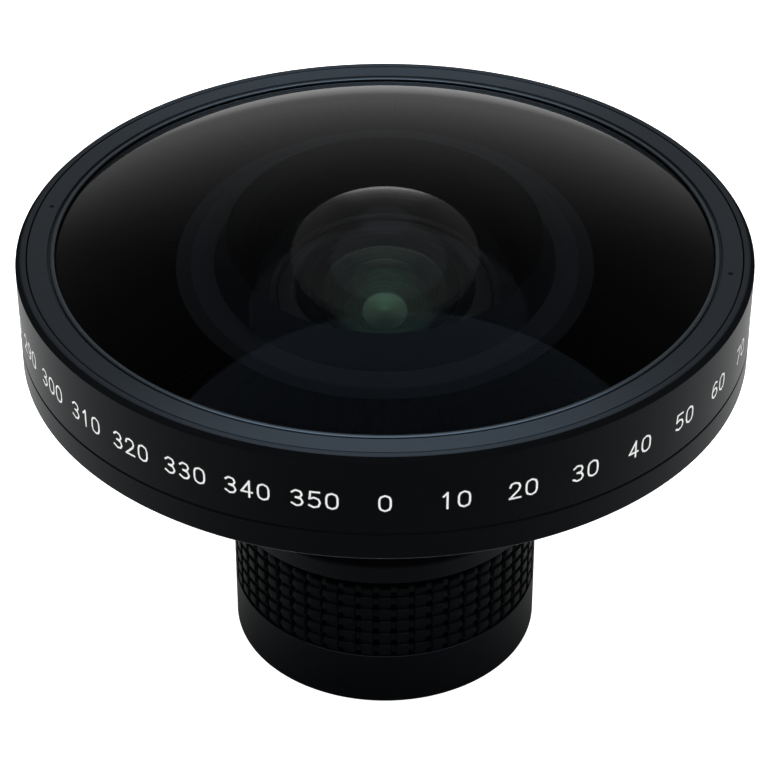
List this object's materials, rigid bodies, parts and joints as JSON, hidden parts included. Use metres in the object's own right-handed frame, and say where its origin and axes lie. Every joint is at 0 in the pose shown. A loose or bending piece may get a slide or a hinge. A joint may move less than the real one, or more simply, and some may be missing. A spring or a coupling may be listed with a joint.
{
  "type": "panoramic lens",
  "caption": "Wide dished conversion lens with a domed front glass, trumpet neck, padded grip ring and a male rear thread.",
  "frame": {"origin": "centre of the rear thread's end face, which the lens stands on", "axes": "+Z along the optical axis towards the front glass; +X to the right and -Y towards the viewer in the picture's view"},
  "size_m": [0.1144, 0.1144, 0.0891],
  "materials": {
    "anodised_black": "satin black anodised",
    "sleeve_black": "satin black anodised, engraved",
    "ring_black": "fine-turned black anodised",
    "grip_black": "milled and black anodised",
    "baffle_black": "matte light-trap black",
    "optical_glass": "coated optical glass",
    "seal_rubber": "matte black rubber",
    "blackened_steel": "blackened"
  },
  "bodies": {
    "grip": {"rear_mount_ring": "anodised_black", "rear_barrel": "grip_black", "macro_rear_element": "optical_glass", "macro_front_element": "optical_glass", "macro_retaining_ring": "baffle_black"},
    "seal": {"neck_seal": "seal_rubber"},
    "front": {"rear_cone": "anodised_black", "cone_screws": "blackened_steel", "neck_collar": "anodised_black", "collar_screws": "blackened_steel", "light_baffle": "baffle_black", "third_element": "optical_glass", "element_spacer": "baffle_black", "second_element": "optical_glass", "second_retaining_ring": "baffle_black", "inner_baffle": "baffle_black", "front_housing": "anodised_black", "head_sleeve": "sleeve_black", "front_element": "optical_glass", "front_gasket": "seal_rubber", "front_retaining_ring": "ring_black"}
  },
  "joints": [
    {"name": "front_lift", "type": "slide", "parent": "grip", "child": "seal", "axis": [0, 0, 1], "range_m": [0, 0.00601]},
    {"name": "front_turn", "type": "hinge", "parent": "seal", "child": "front", "pos_m": [0, 0, 0.0289], "axis": [0, 0, 1], "range_deg": [0, 2880]}
  ],
  "couplings": [
    {"joint": "front_lift", "follows": "front_turn", "m_per_rad": 0.00011937}
  ]
}
